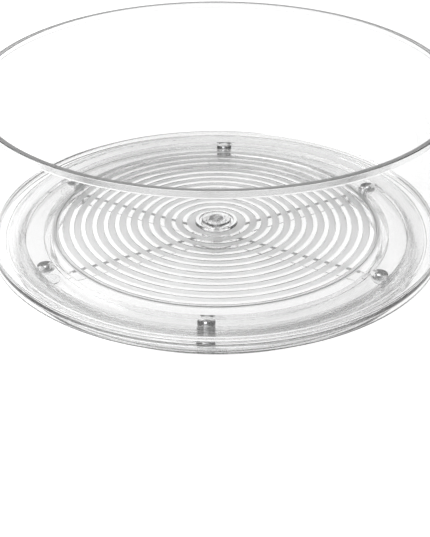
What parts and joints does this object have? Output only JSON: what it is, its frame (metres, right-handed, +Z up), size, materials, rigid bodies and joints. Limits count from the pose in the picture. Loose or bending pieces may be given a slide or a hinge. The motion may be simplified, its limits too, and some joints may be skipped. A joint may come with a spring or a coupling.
{
  "type": "lazy susan turntable",
  "caption": "Round clear plastic storage bin that turns on steel balls over a spoked base, with grip rings on its floor.",
  "frame": {"origin": "on the table, where the turning axis meets it", "axes": "+Z up along the turning axis; -Y is the front; the spokes lie 30 degrees either side of X"},
  "size_m": [0.2852, 0.2852, 0.1092],
  "materials": {
    "bin_clear": "clear polished, with frosted bands between the floor rings",
    "base_clear": "clear polished",
    "pivot_clear": "clear polished",
    "ball_steel": "polished steel",
    "pad_clear": "clear matt soft plastic"
  },
  "bodies": {
    "base": {"base_frame": "base_clear", "pivot_cap": "pivot_clear", "pivot_rivet": "pivot_clear", "rivet_washer": "pivot_clear", "foot_pad_1": "pad_clear", "foot_pad_2": "pad_clear", "foot_pad_3": "pad_clear", "foot_pad_4": "pad_clear", "foot_pad_5": "pad_clear", "foot_pad_6": "pad_clear"},
    "tray": {"bin_tray": "bin_clear"},
    "ball_1": {"race_ball_1": "ball_steel"},
    "ball_2": {"race_ball_2": "ball_steel"},
    "ball_3": {"race_ball_3": "ball_steel"},
    "ball_4": {"race_ball_4": "ball_steel"},
    "ball_5": {"race_ball_5": "ball_steel"},
    "ball_6": {"race_ball_6": "ball_steel"}
  },
  "joints": [
    {"name": "tray_spin", "type": "hinge", "parent": "base", "child": "tray", "pos_m": [0, 0, 0.0162], "axis": [0, 0, 1], "continuous": true},
    {"name": "ball_1_roll", "type": "hinge", "parent": "tray", "child": "ball_1", "pos_m": [0.10015, 0.05147, 0.0077], "axis": [0.8894, 0.4571, 0], "continuous": true},
    {"name": "ball_2_roll", "type": "hinge", "parent": "tray", "child": "ball_2", "pos_m": [0.0055, 0.11247, 0.0077], "axis": [0.0489, 0.9988, 0], "continuous": true},
    {"name": "ball_3_roll", "type": "hinge", "parent": "tray", "child": "ball_3", "pos_m": [-0.09465, 0.061, 0.0077], "axis": [-0.8406, 0.5417, 0], "continuous": true},
    {"name": "ball_4_roll", "type": "hinge", "parent": "tray", "child": "ball_4", "pos_m": [-0.10015, -0.05147, 0.0077], "axis": [-0.8894, -0.4571, 0], "continuous": true},
    {"name": "ball_5_roll", "type": "hinge", "parent": "tray", "child": "ball_5", "pos_m": [-0.0055, -0.11247, 0.0077], "axis": [-0.0489, -0.9988, 0], "continuous": true},
    {"name": "ball_6_roll", "type": "hinge", "parent": "tray", "child": "ball_6", "pos_m": [0.09465, -0.061, 0.0077], "axis": [0.8406, -0.5417, 0], "continuous": true}
  ],
  "couplings": [
    {"joint": "ball_1_roll", "follows": "tray_spin", "ratio": -23.705},
    {"joint": "ball_2_roll", "follows": "tray_spin", "ratio": -23.705},
    {"joint": "ball_3_roll", "follows": "tray_spin", "ratio": -23.705},
    {"joint": "ball_4_roll", "follows": "tray_spin", "ratio": -23.705},
    {"joint": "ball_5_roll", "follows": "tray_spin", "ratio": -23.705},
    {"joint": "ball_6_roll", "follows": "tray_spin", "ratio": -23.705}
  ]
}
